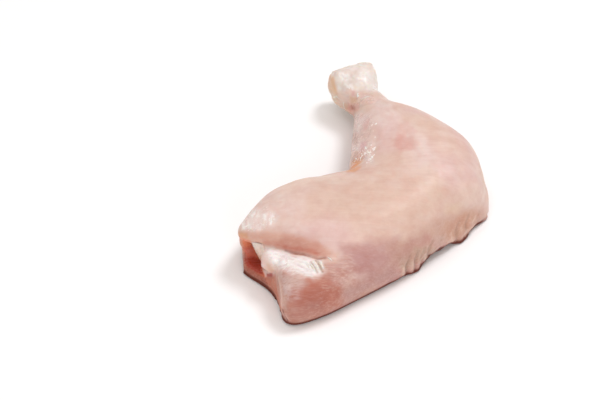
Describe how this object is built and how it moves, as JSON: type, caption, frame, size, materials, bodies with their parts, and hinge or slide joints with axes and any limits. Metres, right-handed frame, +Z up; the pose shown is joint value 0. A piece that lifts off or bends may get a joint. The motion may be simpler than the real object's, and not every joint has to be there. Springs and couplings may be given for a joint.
{
  "type": "raw chicken leg",
  "caption": "Raw skinless chicken leg, thigh and drumstick in one bent piece, lying flat, with a bare knuckle end and an open cut at the hip.",
  "frame": {"origin": "on the table, under the middle of the leg's bounding box", "axes": "+Z up from the table, +Y along the leg's length towards the bare knuckle, +X towards the knee"},
  "size_m": [0.128, 0.1808, 0.0389],
  "materials": {
    "raw_meat": "moist raw meat, pale beige-pink, with a soft wet shine"
  },
  "bodies": {
    "root": {"chicken_leg": "raw_meat"}
  },
  "joints": []
}
